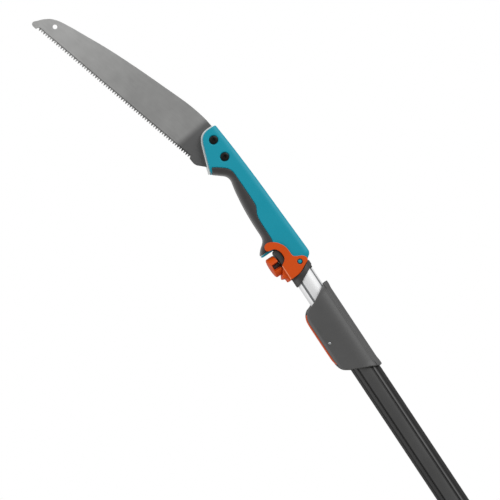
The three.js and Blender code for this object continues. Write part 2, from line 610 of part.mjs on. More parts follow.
// End cap: rubber cup over the outer tube's foot, with a spigot inside it.
place('end_cap', turned([
  [0, 0], [21, 0], [22.4, 1.4], [22.6, 12], [21.9, 13], [22.5, 14], [22.3, 40], [21.5, 42],
  [20.3, 42], [20.3, 4], [18.2, 4], [18.2, 30], [16, 30], [16, 4], [0, 4],
], 'z', 32), RUBBER, group);

export default group;
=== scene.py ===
import math

import bmesh
import bpy
import numpy as np
from mathutils import Matrix, Vector
from mathutils.geometry import convex_hull_2d


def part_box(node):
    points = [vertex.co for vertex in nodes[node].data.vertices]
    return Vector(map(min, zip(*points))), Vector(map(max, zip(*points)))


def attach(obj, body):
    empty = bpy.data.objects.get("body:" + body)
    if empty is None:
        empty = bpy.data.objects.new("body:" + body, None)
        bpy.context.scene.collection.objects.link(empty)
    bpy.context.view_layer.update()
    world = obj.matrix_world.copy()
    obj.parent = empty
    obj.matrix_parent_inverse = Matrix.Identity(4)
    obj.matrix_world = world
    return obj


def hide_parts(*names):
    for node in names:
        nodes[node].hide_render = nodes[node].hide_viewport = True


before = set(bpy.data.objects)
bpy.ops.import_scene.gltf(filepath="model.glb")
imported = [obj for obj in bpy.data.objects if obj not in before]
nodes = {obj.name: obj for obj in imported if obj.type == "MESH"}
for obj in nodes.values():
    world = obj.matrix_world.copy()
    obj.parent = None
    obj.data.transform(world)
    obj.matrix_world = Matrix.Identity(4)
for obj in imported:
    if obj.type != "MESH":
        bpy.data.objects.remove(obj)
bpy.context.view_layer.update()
scene = bpy.context.scene

# ---------------------------------------------------------------------------------------
# Studio: a plain pale floor under the extended pole, an even white surround, two large
# soft boxes from the right and left of the camera and one overhead.
MM = 0.001
INNER_TUBE_LENGTH = 1500
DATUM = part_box("inner_tube")[0].z + INNER_TUBE_LENGTH * MM


def linear(code):
    """An sRGB hex colour as linear RGBA."""
    parts = [int(code[i:i + 2], 16) / 255 for i in (1, 3, 5)]
    return [p / 12.92 if p <= 0.04045 else ((p + 0.055) / 1.055) ** 2.4 for p in parts] + [1]


def add(tree, kind, sockets=None, **settings):
    """Adds one node, with its settings and the values or links of its sockets."""
    made = tree.nodes.new(kind)
    for name, value in settings.items():
        setattr(made, name, value)
    for name, value in (sockets or {}).items():
        if isinstance(value, bpy.types.NodeSocket):
            tree.links.new(value, made.inputs[name])
        else:
            made.inputs[name].default_value = value
    return made


def surface(name, **values):
    """A material with one Principled shader, whose uniform values are set on its sockets."""
    material = bpy.data.materials.new(name)
    material.use_nodes = True
    tree = material.node_tree
    tree.nodes.clear()
    shader = add(tree, "ShaderNodeBsdfPrincipled", values)
    add(tree, "ShaderNodeOutputMaterial", {"Surface": shader.outputs["BSDF"]})
    return material, tree, shader


SAW_LEAN = math.radians(33.6)
VIEW_TURN = math.radians(8.5)
CAMERA_AWAY = 6.0
FRAME_WIDTH = 0.7443
AIM_ACROSS = -0.0460
AIM_HEIGHT = 0.0641
look = Vector((math.sin(VIEW_TURN), math.cos(VIEW_TURN), 0))
across = Vector((math.cos(VIEW_TURN), -math.sin(VIEW_TURN), 0))
aim = across * AIM_ACROSS + Vector((0, 0, DATUM + AIM_HEIGHT))
right = across * math.cos(SAW_LEAN) - Vector((0, 0, math.sin(SAW_LEAN)))
up = across * math.sin(SAW_LEAN) + Vector((0, 0, math.cos(SAW_LEAN)))
lens = bpy.data.cameras.new("camera")
lens.sensor_width = 36
lens.lens = lens.sensor_width * CAMERA_AWAY / FRAME_WIDTH
lens.clip_end = 60
camera = bpy.data.objects.new("camera", lens)
scene.collection.objects.link(camera)
turn = Matrix((right, up, -look)).transposed().to_4x4()
camera.matrix_world = Matrix.Translation(aim - look * CAMERA_AWAY) @ turn
scene.camera = camera
scene.view_settings.view_transform = "Standard"

FLOOR_LEVEL = -1.35
FLOOR_HALF = 18
floor_mesh = bpy.data.meshes.new("studio_floor")
floor_mesh.from_pydata(
    [(x, y, FLOOR_LEVEL) for x, y in
     ((-FLOOR_HALF, -FLOOR_HALF), (FLOOR_HALF, -FLOOR_HALF), (FLOOR_HALF, FLOOR_HALF),
      (-FLOOR_HALF, FLOOR_HALF))], [], [(0, 1, 2, 3)])
floor_paint, _, _ = surface("matt_floor_paint", **{
    "Base Color": linear("#E9E8E5"), "Roughness": 0.9})
floor_mesh.materials.append(floor_paint)
floor = bpy.data.objects.new("studio_floor", floor_mesh)
scene.collection.objects.link(floor)

world = bpy.data.worlds.new("studio_surround")
world.use_nodes = True
sky = world.node_tree
sky.nodes.clear()
seen = add(sky, "ShaderNodeLightPath").outputs["Is Camera Ray"]
fill = add(sky, "ShaderNodeBackground", {"Color": linear("#FFFFFF"), "Strength": 0.34})
backdrop = add(sky, "ShaderNodeBackground", {"Color": linear("#FFFFFF"), "Strength": 1.0})
both = add(sky, "ShaderNodeMixShader", {
    0: seen, 1: fill.outputs[0], 2: backdrop.outputs[0]})
add(sky, "ShaderNodeOutputWorld", {"Surface": both.outputs[0]})
scene.world = world

for name, way, size, watts in (
    ("softbox_right", across * 0.95 - look * 0.55 + Vector((0, 0, 0.35)), 2.2, 62),
    ("softbox_left", across * -1.0 - look * 0.05 + Vector((0, 0, 0.25)), 1.9, 44),
    ("softbox_front", across * -0.15 - look * 1.0 + Vector((0, 0, 0.75)), 1.6, 16),
):
    lamp = bpy.data.lights.new(name, "AREA")
    lamp.shape = "SQUARE"
    lamp.size = size
    lamp.energy = watts
    stand = bpy.data.objects.new(name, lamp)
    stand.location = aim + way.normalized() * 3.2
    stand.rotation_euler = (aim - stand.location).to_track_quat("-Z", "Y").to_euler()
    scene.collection.objects.link(stand)


# ---------------------------------------------------------------------------------------
# Blade: spring steel strip, laser-cut, ground thin and satin polished along its length.
# Its teeth are ground in turn from one side and the other. Two bolts hold its tang.
def put(name, corners, faces):
    """A mesh object from corners in mm, with heights counted from the coupling datum."""
    mesh = bpy.data.meshes.new(name)
    mesh.from_pydata([(x * MM, y * MM, DATUM + z * MM) for x, y, z in corners], [], faces)
    piece = bpy.data.objects.new(name, mesh)
    scene.collection.objects.link(piece)
    face_out(piece)
    return piece


def face_out(piece):
    """Merges doubles and turns every closed shell's faces outwards."""
    shell = bmesh.new()
    shell.from_mesh(piece.data)
    bmesh.ops.remove_doubles(shell, verts=shell.verts, dist=1e-7)
    bmesh.ops.recalc_face_normals(shell, faces=shell.faces)
    shell.to_mesh(piece.data)
    shell.free()


def rounded(corners, steps=6):
    """Corners (x, z, radius) in mm as one ring of points, each corner rounded."""
    ring = []
    for i, corner in enumerate(corners):
        here = Vector(corner[:2])
        radius = corner[2] if len(corner) > 2 else 0
        if not radius:
            ring.append(here)
            continue
        ends = []
        for other in (corners[i - 1], corners[(i + 1) % len(corners)]):
            way = Vector(other[:2]) - here
            ends.append(here + way.normalized() * min(radius, way.length * 0.48))
        for step in range(steps + 1):
            t = step / steps
            ring.append(ends[0] * (1 - t) ** 2 + here * 2 * t * (1 - t) + ends[1] * t * t)
    return ring


def prism(name, ring, low, high):
    """A plate drawn in X and Z, with its thickness along Y."""
    count = len(ring)
    corners = [(p.x, y, p.y) for y in (low, high) for p in ring]
    faces = [list(range(count)), list(range(2 * count - 1, count - 1, -1))]
    faces += [(i, (i + 1) % count, count + (i + 1) % count, count + i) for i in range(count)]
    return put(name, corners, faces)


def turned(name, profile, axis, centre=(0, 0, 0), sides=48):
    """A turned piece from (radius, height) points, which end on the axis or close."""
    corners, rings = [], []
    for radius, height in profile:
        spots = sides if radius else 1
        rings.append(list(range(len(corners), len(corners) + spots)))
        for k in range(spots):
            angle = 2 * math.pi * k / sides
            a, b = radius * math.cos(angle), radius * math.sin(angle)
            spot = {"x": (height, a, b), "y": (a, height, b), "z": (a, b, height)}[axis]
            corners.append([c + s for c, s in zip(centre, spot)])
    pairs = list(zip(rings, rings[1:]))
    if len(rings[0]) > 1:
        pairs.append((rings[-1], rings[0]))
    faces = []
    for lower, upper in pairs:
        for k in range(sides):
            quad = [lower[k % len(lower)], lower[(k + 1) % len(lower)],
                    upper[(k + 1) % len(upper)], upper[k % len(upper)]]
            faces.append(list(dict.fromkeys(quad)))
    return put(name, corners, faces)


def bake(piece):
    """Turns the piece with its modifiers into a plain mesh."""
    bpy.context.view_layer.update()
    evaluated = piece.evaluated_get(bpy.context.evaluated_depsgraph_get())
    shaped = bpy.data.meshes.new_from_object(evaluated)
    piece.modifiers.clear()
    piece.data = shaped
    return piece


def carve(piece, *tools, operation="DIFFERENCE"):
    """Cuts the tools from the piece, or keeps what they share, and removes the tools."""
    for tool in tools:
        step = piece.modifiers.new("carve", "BOOLEAN")
        step.operation = operation
        step.solver = "MANIFOLD"
        step.object = tool
    bake(piece)
    # A cut leaves an empty slot on a bare mesh, which would stand before its material.
    if not any(piece.data.materials):
        piece.data.materials.clear()
    for tool in tools:
        bpy.data.objects.remove(tool)
    return piece


def smooth(piece, angle=32):
    """Shades the mesh smooth, except over edges sharper than the angle."""
    piece.data.shade_smooth()
    piece.data.set_sharp_from_angle(angle=math.radians(angle))
    return piece


def through(points, steps):
    """A curve that runs evenly through the points."""
    run = []
    last = len(points) - 1
    for i in range(steps + 1):
        place = last * i / steps
        k = min(int(place), last - 1)
        t = place - k
        a, b, c, d = (Vector(points[min(max(j, 0), last)]) for j in (k - 1, k, k + 1, k + 2))
        run.append(0.5 * (2 * b + (c - a) * t + (2 * a - 5 * b + 4 * c - d) * t ** 2
                          + (3 * b - a - 3 * c + d) * t ** 3))
    return run


def bow(start, pull, end, steps=6):
    """A quadratic arc from start to end, drawn towards pull."""
    start, pull, end = Vector(start), Vector(pull), Vector(end)
    return [start * (1 - t) ** 2 + pull * 2 * t * (1 - t) + end * t * t
            for t in (k / steps for k in range(1, steps + 1))]


TEETH = 70
FIRST_TOOTH = Vector((-128.5, 508.5))
LAST_TOOTH = Vector((-46, 227))
TOOTH_DEPTH = 4.2
BLADE_HALF = 0.7
BLADE_BACK = [(8.8, 246), (6.2, 265), (-2.1, 295), (-19.5, 340), (-38, 386), (-57.2, 430),
              (-73, 462), (-84, 484), (-91.6, 498), (-97.2, 506.6), (-104.5, 514),
              (-113.5, 519.1), (-122, 522)]
BOLT_X = -2.4
BOLT_HEIGHTS = (230.2, 200.3)
row = LAST_TOOTH - FIRST_TOOTH
inward = Vector((-row.y, row.x)).normalized()
half_pitch = row / TEETH / 2
edge = [FIRST_TOOTH - half_pitch + inward * TOOTH_DEPTH,
        LAST_TOOTH - half_pitch + inward * TOOTH_DEPTH, LAST_TOOTH]
blade_ring = [Vector(p) for p in ((-33.4, 204), (-22, 193.5), (4, 191), (8, 196))]
blade_ring += through(BLADE_BACK, 72) + [Vector((-127.5, 524.2))]
blade_ring += bow((-127.5, 524.2), (-132, 524), (-132, 519))
blade_ring += bow((-131, 514.6), (-130.8, 513), (-129, 513)) + edge
blade_ring += bow(LAST_TOOTH, (-45.8, 215.6), (-42.4, 212.4))
blade = prism("saw_blade", blade_ring, -BLADE_HALF, BLADE_HALF)
holes = [turned("hole", [(0, -5), (3.5, -5), (3.5, 5), (0, 5)], "y", (-105, 0, 500.2), 64)]
holes += [turned("hole", [(0, -5), (3.3, -5), (3.3, 5), (0, 5)], "y", (BOLT_X, 0, z))
          for z in BOLT_HEIGHTS]
carve(blade, *holes)
rim = blade.modifiers.new("ground_rim", "BEVEL")
rim.width = 0.18 * MM
rim.segments = 2
rim.limit_method = "ANGLE"
rim.angle_limit = math.radians(50)
bake(blade)

# One tooth, set on the edge at the row's start: a wedge whose bevel is ground from -Y.
along = row.normalized()
sink = inward * 0.6
point = along * 0.15
foot_a = FIRST_TOOTH - half_pitch + inward * TOOTH_DEPTH
foot_b = FIRST_TOOTH + half_pitch + inward * TOOTH_DEPTH
tooth_spots = [
    (foot_a + sink, -BLADE_HALF), (foot_b + sink, -BLADE_HALF),
    (foot_b + sink, BLADE_HALF), (foot_a + sink, BLADE_HALF),
    (foot_a + along * 0.1, -BLADE_HALF), (foot_b - along * 0.1, -BLADE_HALF),
    (foot_b, BLADE_HALF), (foot_a, BLADE_HALF),
    (FIRST_TOOTH - point, BLADE_HALF - 0.15), (FIRST_TOOTH + point, BLADE_HALF - 0.15),
    (FIRST_TOOTH + point, BLADE_HALF), (FIRST_TOOTH - point, BLADE_HALF),
]
tooth = put("tooth", [(p.x, y, p.y) for p, y in tooth_spots], [
    (0, 1, 2, 3), (0, 1, 5, 4), (2, 3, 7, 6), (3, 0, 4, 7), (1, 2, 6, 5),
    (4, 5, 9, 8), (6, 7, 11, 10), (7, 4, 8, 11), (5, 6, 10, 9), (8, 9, 10, 11)])


def nodes_of(name, *inputs):
    """A Geometry Nodes tree with a geometry in and out and further named inputs."""
    tree = bpy.data.node_groups.new(name, "GeometryNodeTree")
    tree.interface.new_socket("Geometry", in_out="INPUT", socket_type="NodeSocketGeometry")
    tree.interface.new_socket("Geometry", in_out="OUTPUT", socket_type="NodeSocketGeometry")
    for title, kind in inputs:
        tree.interface.new_socket(title, in_out="INPUT", socket_type=kind)
    return tree, add(tree, "NodeGroupInput").outputs


def grow(piece, tree, values):
    """Runs the tree on the piece with its inputs set, and keeps the plain mesh."""
    step = piece.modifiers.new(tree.name, "NODES")
    step.node_group = tree
    for socket in tree.interface.items_tree:
        if socket.in_out == "INPUT" and socket.name in values:
            step[socket.identifier] = values[socket.name]
    return bake(piece)


def two_tone(tree, share, deep, pale):
    """The colour between two sRGB tones, by share."""
    return add(tree, "ShaderNodeMix", {
        0: share, 6: linear(deep), 7: linear(pale)}, data_type="RGBA").outputs[2]


def dull_by(tree, shader, value, low, high):
    """Lets a value set the roughness, from low to high."""
    gloss = add(tree, "ShaderNodeMapRange", {"Value": value, "To Min": low, "To Max": high})
    tree.links.new(gloss.outputs[0], shader.inputs["Roughness"])


def raise_by(tree, shader, height, strength, relief_mm):
    """Lets a value raise the surface, by up to the relief."""
    bump = add(tree, "ShaderNodeBump", {
        "Strength": strength, "Distance": relief_mm * MM, "Height": height})
    tree.links.new(bump.outputs[0], shader.inputs["Normal"])


# Satin ground steel: fine lines run along the blade, with a few deeper scratches, and it
# is darker just above the handle. The eye sees a soft, streaked grey, paler at the tip.
ground_steel, tree, shader = surface("satin_ground_spring_steel", **{
    "Metallic": 1.0, "Roughness": 0.42, "Anisotropic": 0.35})
BLADE_LEAN = math.atan2(row.x, row.y)
place = add(tree, "ShaderNodeTexCoord").outputs["Object"]
level = add(tree, "ShaderNodeMapping", {
    "Vector": place, "Location": (0, 0, -(DATUM + 0.25))}, vector_type="POINT").outputs[0]
turned_place = add(tree, "ShaderNodeMapping", {
    "Vector": level, "Rotation": (0, -BLADE_LEAN, 0)}).outputs[0]
GRIND_LINE = 0.5 * MM
lines = add(tree, "ShaderNodeMapping", {
    "Vector": turned_place, "Scale": (1 / GRIND_LINE, 1 / GRIND_LINE, 0.03 / GRIND_LINE)})
streaks = add(tree, "ShaderNodeTexNoise", {
    "Vector": lines.outputs[0], "Scale": 1.0, "Detail": 3.0, "Roughness": 0.6}).outputs["Fac"]
clouds = add(tree, "ShaderNodeTexNoise", {
    "Vector": place, "Scale": 38.0, "Detail": 3.0}).outputs["Fac"]
tone = two_tone(tree, streaks, "#BCBCBB", "#D0D0CF")
patch = two_tone(tree, clouds, "#D8D8D8", "#FFFFFF")
mixed = add(tree, "ShaderNodeMix", {
    0: 1.0, 6: tone, 7: patch}, data_type="RGBA", blend_type="MULTIPLY")
split = add(tree, "ShaderNodeSeparateXYZ", {"Vector": place})
slant = add(tree, "ShaderNodeMath", {
    0: split.outputs["X"], 1: 0.11, 2: DATUM + 0.2575}, operation="MULTIPLY_ADD")
above = add(tree, "ShaderNodeMath", {
    0: split.outputs["Z"], 1: slant.outputs[0]}, operation="SUBTRACT")
# The colour is darker in a band just above the handle's mouth and grows paler towards the tip.
root = add(tree, "ShaderNodeMapRange", {
    "Value": above.outputs[0], "From Min": -0.004, "From Max": 0.009,
    "To Min": 0.0, "To Max": 1.0}, interpolation_type="SMOOTHSTEP")
paler_to_tip = add(tree, "ShaderNodeMapRange", {
    "Value": above.outputs[0], "From Min": 0.1, "From Max": 0.24, "To Min": 0.74, "To Max": 1.0})
graded = add(tree, "ShaderNodeVectorMath", {
    0: mixed.outputs[2], "Scale": paler_to_tip.outputs[0]}, operation="SCALE")
shade = add(tree, "ShaderNodeMix", {
    0: root.outputs[0], 6: linear("#6C6C6C"), 7: graded.outputs[0]}, data_type="RGBA")
tree.links.new(shade.outputs[2], shader.inputs["Base Color"])
dull_by(tree, shader, streaks, 0.36, 0.5)
raise_by(tree, shader, streaks, 0.12, 0.05)

tree, given = nodes_of("tooth_row", ("Tooth", "NodeSocketObject"), ("Teeth", "NodeSocketInt"),
                       ("Step", "NodeSocketVector"), ("Steel", "NodeSocketMaterial"))
spots = add(tree, "GeometryNodeMeshLine", {
    "Count": given["Teeth"], "Offset": given["Step"]}, mode="OFFSET").outputs[0]
shape = add(tree, "GeometryNodeObjectInfo", {"Object": given["Tooth"]}).outputs["Geometry"]
count = add(tree, "GeometryNodeInputIndex").outputs[0]
side = add(tree, "ShaderNodeMath", {0: count, 1: 2.0}, operation="MODULO").outputs[0]
flip = add(tree, "ShaderNodeMath", {0: side, 1: -2.0, 2: 1.0}, operation="MULTIPLY_ADD")
scale = add(tree, "ShaderNodeCombineXYZ", {"X": 1.0, "Y": flip.outputs[0], "Z": 1.0})
row_of = add(tree, "GeometryNodeInstanceOnPoints", {
    "Points": spots, "Instance": shape, "Scale": scale.outputs[0]}).outputs[0]
whole = add(tree, "GeometryNodeJoinGeometry", {"Geometry": row_of})
tree.links.new(given["Geometry"], whole.inputs[0])
real = add(tree, "GeometryNodeRealizeInstances", {"Geometry": whole.outputs[0]}).outputs[0]
coat = add(tree, "GeometryNodeSetMaterial", {"Geometry": real, "Material": given["Steel"]})
add(tree, "NodeGroupOutput", {"Geometry": coat.outputs[0]})
grow(blade, tree, {"Tooth": tooth, "Teeth": TEETH, "Steel": ground_steel,
                   "Step": (row.x * MM / TEETH, 0, row.y * MM / TEETH)})
bpy.data.objects.remove(tooth)
face_out(blade)
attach(blade, "saw_head")
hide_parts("blade")


# ---------------------------------------------------------------------------------------
# Blade holder: two die-cast aluminium cheeks that clamp the tang and edge the handle's
# mouth. Their rims are tumbled, which rounds them a little.
def soften(piece, voxel, passes):
    """Gives the piece the small even radii of a moulding, with one clean closed skin."""
    skin = piece.modifiers.new("skin", "REMESH")
    skin.mode = "VOXEL"
    skin.voxel_size = voxel * MM
    skin.use_smooth_shade = True
    if passes:
        flow = piece.modifiers.new("flow", "SMOOTH")
        flow.factor = 0.5
        flow.iterations = passes
    return bake(piece)


def offset(corners, distance):
    """Moves every side of a clockwise outline out by a distance, or in if negative."""
    moved = []
    for i, corner in enumerate(corners):
        here = Vector(corner[:2])
        into = (here - Vector(corners[i - 1][:2])).normalized()
        out = (Vector(corners[(i + 1) % len(corners)][:2]) - here).normalized()
        side = Vector((-into.y - out.y, into.x + out.x)).normalized()
        miter = distance / max(0.4, side.dot(Vector((-into.y, into.x))))
        here = here + side * miter
        moved.append((here.x, here.y, *corner[2:]))
    return moved


# Tumbled cast aluminium: a fine dull grain with brighter high spots.
cast_aluminium, tree, shader = surface("tumbled_cast_aluminium", **{"Metallic": 0.6})
place = add(tree, "ShaderNodeTexCoord").outputs["Object"]
CAST_GRAIN = 0.6 * MM
grain = add(tree, "ShaderNodeTexNoise", {
    "Vector": place, "Scale": 1 / CAST_GRAIN, "Detail": 4.0, "Roughness": 0.6}).outputs["Fac"]
tone = two_tone(tree, grain, "#D2D5D4", "#F0F2F1")
tree.links.new(tone, shader.inputs["Base Color"])
dull_by(tree, shader, grain, 0.38, 0.6)
raise_by(tree, shader, grain, 0.25, 0.05)

HOLDER = [
    (-5, 249.6, 5), (9, 249.6, 2), (10, 236, 3), (9.4, 190, 3), (4, 186, 3),
    (-12, 186.4, 3), (-24, 190.6, 3), (-35.2, 191.2, 0.8), (-32.5, 200.3, 3),
    (-26.9, 216.6, 5), (-19, 238.2, 6), (-13.4, 246, 5),
]
HOLDER_INNER, HOLDER_OUTER = 1, 8
for side, way in (("near", -1), ("far", 1)):
    low, high = sorted((way * HOLDER_INNER, way * HOLDER_OUTER))
    holder = prism(f"cast_holder_{side}", rounded(HOLDER), low, high)
    carve(holder, *[turned("bore", [(0, -20), (3.3, -20), (3.3, 20), (0, 20)], "y",
                           (BOLT_X, 0, z)) for z in BOLT_HEIGHTS])
    soften(holder, 0.55, 2)
    holder.data.materials.append(cast_aluminium)
    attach(holder, "saw_head")
    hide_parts(f"blade_holder_{side}")


# ---------------------------------------------------------------------------------------
# Handle: two injection-moulded shells of glass-filled nylon, screwed together from the
# far side. The back edge has a small radius and the finger side a large one.
def edge_distance(places, ring):
    """How far each place (x, z) lies from the outline ring, both in mm."""
    best = np.full(len(places), 1e9)
    points = np.array([tuple(p) for p in ring])
    for a, b in zip(points, np.roll(points, -1, axis=0)):
        run = b - a
        length = float(run @ run) or 1e-12
        share = np.clip(((places - a) @ run) / length, 0, 1)
        gap = places - a - share[:, None] * run
        best = np.minimum(best, np.hypot(gap[:, 0], gap[:, 1]))
    return best


def crown(piece, ring, half, width, drop):
    """Rounds a plate's two faces down to the outline over a width, in an ellipse."""
    mesh = piece.data
    co = np.empty(len(mesh.vertices) * 3)
    mesh.vertices.foreach_get("co", co)
    co = co.reshape(-1, 3)
    places = np.stack([co[:, 0] / MM, (co[:, 2] - DATUM) / MM], axis=1)
    share = 1 - np.clip(edge_distance(places, ring) / width, 0, 1)
    fall = drop(places[:, 0], places[:, 1])
    top = (half - fall + fall * np.sqrt(1 - share ** 2)) * MM
    co[:, 1] = np.clip(co[:, 1], -top, top)
    mesh.vertices.foreach_set("co", co.ravel())
    mesh.update()
    return piece


def moulded(name, pale, deep, grain_mm, relief_mm, rough, **values):
    """Moulded plastic: a spark-eroded grain, faint flow marks and slightly rubbed gloss."""
    material, tree, shader = surface(name, **values)
    place = add(tree, "ShaderNodeTexCoord").outputs["Object"]
    flow = add(tree, "ShaderNodeTexNoise", {
        "Vector": place, "Scale": 26.0, "Detail": 4.0, "Roughness": 0.55}).outputs["Fac"]
    tone = two_tone(tree, flow, deep, pale)
    tree.links.new(tone, shader.inputs["Base Color"])
    grain = add(tree, "ShaderNodeTexVoronoi", {
        "Vector": place, "Scale": 1 / (grain_mm * MM)}, feature="SMOOTH_F1")
    grain.inputs["Smoothness"].default_value = 0.7
    rubbed = add(tree, "ShaderNodeMapRange", {
        "Value": flow, "From Min": 0.3, "From Max": 0.7, "To Min": rough[0], "To Max": rough[1]})
    tree.links.new(rubbed.outputs[0], shader.inputs["Roughness"])
    raise_by(tree, shader, grain.outputs["Distance"], 0.35, relief_mm)
    return material


# Glass-filled nylon in teal: fine satin grain, so highlights along the edges stay broad.
teal_nylon = moulded("teal_glass_filled_nylon", "#0B9FB6", "#0999B0", 0.5, 0.03, (0.4, 0.5),
                     **{"IOR": 1.5, "Specular IOR Level": 0.3})

HANDLE_HALF = 13
SEAM = 0.15
HANDLE_SIDES = [
    (16.6, 206, 20), (20.5, 142, 20), (22.4, 94, 20), (25.5, 22, 8), (25.6, 12.4, 5),
    (18.6, 6.8, 4), (8, 1.5, 4), (0, 0.5, 4), (-7.5, 2, 5), (-7.5, 41, 3), (-13, 44, 3),
    (-37.4, 44, 2), (-38.4, 49.5, 2.5), (-33, 56.2, 5), (-23, 63.6, 6), (-21, 71, 6),
    (-21.1, 96, 16), (-19.3, 124, 14), (-15.8, 150, 8), (-12, 167, 5), (-14.4, 174.6, 5),
]
HANDLE_MOUTH = [
    (-33.9, 190.4, 1), (-30.7, 200, 3), (-24.9, 216, 5), (-17.2, 237, 6), (-12.2, 244, 5),
    (-4.2, 247.5, 4), (12.8, 247.5, 2),
]
PAST_MOUTH = [(-44, 199, 6), (-30, 236, 6), (-14, 256, 6), (12, 256, 2)]
GRIP_ZONE = [
    (-28.2, 197.5, 1.5), (-21.2, 193.4, 6), (-7.8, 183, 7), (-4.4, 175, 6), (-3.7, 130, 10),
    (-4, 113.5, 4), (-11, 101.5, 6), (-12, 90, 6), (-12.2, 59, 5), (-16, 50.6, 5),
    (-25, 47.6, 6), (-45, 46.9), (-45, 170), (-33, 182),
]
CAVITY = [
    (-4, 160, 3), (9, 166, 3), (15.5, 62, 3), (-5, 66, 3), (-12.5, 80, 3), (-11, 110, 3),
    (-7.5, 140, 3),
]
SHELL_SCREWS = [(3, 152), (1, 108), (5, 73)]
BOSS = (4.2, 9)
ROLL_WIDTH = 9.5
BACK_DROP, FINGER_DROP = 4.2, 9
handle_ring = rounded(HANDLE_SIDES + HANDLE_MOUTH, 8)
crown_ring = rounded(HANDLE_SIDES + PAST_MOUTH, 8)


def gather(piece, *others):
    """Adds the other bodies' meshes to the piece, to be made one skin afterwards."""
    shell = bmesh.new()
    shell.from_mesh(piece.data)
    for other in others:
        shell.from_mesh(other.data)
        bpy.data.objects.remove(other)
    shell.to_mesh(piece.data)
    shell.free()
    return piece


def fingerward(x, z):
    """0 along the handle's back, growing to 1 at the fingers."""
    return np.clip((6 - x) / 14, 0, 1) * np.clip((z - 46) / 8, 0.25, 1)


def roll_drop(x, z):
    """How far the handle's faces fall at its outline."""
    return BACK_DROP + (FINGER_DROP - BACK_DROP) * fingerward(x, z)


def half_plate(name, ring, way, thickness):
    """A plate on one side of the saw's plane, from the seam outwards."""
    low, high = sorted((way * SEAM, way * thickness))
    return prism(name, ring, low, high)


for side, way in (("near", -1), ("far", 1)):
    shell = half_plate(f"handle_half_{side}", handle_ring, way, HANDLE_HALF)
    tools = [prism("grip_bed", rounded(offset(GRIP_ZONE, 0.12)), -20, 20),
             prism("holder_bed", rounded(offset(HOLDER, 0.3)), -8.3, 8.3),
             prism("hollow", rounded(CAVITY), -9.5, 9.5)]
    for z in BOLT_HEIGHTS:
        tools.append(turned("bore", [(0, -20), (3.5, -20), (3.5, 20), (0, 20)], "y",
                            (BOLT_X, 0, z)))
        if way < 0:
            tools.append(turned("seat", [(0, -20), (6.9, -20), (6.9, -10.9), (0, -10.9)], "y",
                                (BOLT_X, 0, z)))
        else:
            tools.append(turned("seat", [(0, 10.6), (6.5, 10.6), (6.5, 20), (0, 20)], "y",
                                (BOLT_X, 0, z), 6))
    if way > 0:
        tools += [turned("seat", [(0, 10.7), (3.8, 10.7), (3.8, 20), (0, 20)], "y", (x, 0, z))
                  for x, z in SHELL_SCREWS]
    carve(shell, *tools)
    soften(shell, 0.9, 0)
    crown(shell, crown_ring, HANDLE_HALF, ROLL_WIDTH, roll_drop)
    boss = turned("boss", [(0, way * 12), (3, way * 12), (3, way * 16), (2.6, way * 16.4),
                           (0, way * 16.4)], "y", (BOSS[0], 0, BOSS[1]))
    gather(shell, boss)
    soften(shell, 0.8, 3)
    shell.data.materials.append(teal_nylon)
    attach(shell, "saw_head")
    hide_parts(f"handle_shell_{side}")

# ---------------------------------------------------------------------------------------
# Soft grip: thermoplastic rubber moulded over each shell on the finger side. It is full
# and round where the fingers lie, with a narrow step down to the hard shell.
# Soft rubber: a dull grain whose sheen lifts the rounded finger side to a paler grey.
soft_rubber = moulded("overmoulded_soft_rubber", "#2C2929", "#252323", 0.7, 0.05, (0.55, 0.68),
                      **{"IOR": 1.5, "Sheen Weight": 0.9, "Sheen Roughness": 0.5})
for side, way in (("near", -1), ("far", 1)):
    grip = half_plate(f"soft_grip_{side}", rounded(offset(GRIP_ZONE, -0.12)), way, HANDLE_HALF)
    carve(grip, prism("handle", handle_ring, -20, 20), operation="INTERSECT")
    soften(grip, 0.8, 0)
    crown(grip, crown_ring, HANDLE_HALF, ROLL_WIDTH, roll_drop)
    soften(grip, 0.7, 3)
    grip.data.materials.append(soft_rubber)
    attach(grip, "saw_head")
    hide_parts(f"grip_{side}")


# ---------------------------------------------------------------------------------------
# Blade bolts: black-oxide steel button heads with a hex socket, sunk in the near shell,
# and plain zinc-plated nuts held in hexagonal pockets on the far side.
# Black oxide on steel: near-black, a little blotchy, with a small soft glint.
black_oxide, tree, shader = surface("black_oxide_steel", **{"Metallic": 0.6})
place = add(tree, "ShaderNodeTexCoord").outputs["Object"]
blotch = add(tree, "ShaderNodeTexNoise", {"Vector": place, "Scale": 420.0, "Detail": 3.0})
tone = two_tone(tree, blotch.outputs["Fac"], "#0E0E0E", "#1E1D1C")
tree.links.new(tone, shader.inputs["Base Color"])
dull_by(tree, shader, blotch.outputs["Fac"], 0.3, 0.5)

# Bright zinc plate on cold-formed steel: pale grey with a faint blotchy sheen.
zinc_plate, tree, shader = surface("bright_zinc_plated_steel", **{"Metallic": 1.0})
place = add(tree, "ShaderNodeTexCoord").outputs["Object"]
blotch = add(tree, "ShaderNodeTexNoise", {"Vector": place, "Scale": 600.0, "Detail": 3.0})
tone = two_tone(tree, blotch.outputs["Fac"], "#A9ACAE", "#CBCDCE")
tree.links.new(tone, shader.inputs["Base Color"])
dull_by(tree, shader, blotch.outputs["Fac"], 0.25, 0.42)


def bore(name, radius, low, high, axis, centre=(0, 0, 0), sides=48):
    """A plain round bar, used to cut holes."""
    return turned(name, [(0, low), (radius, low), (radius, high), (0, high)], axis, centre, sides)


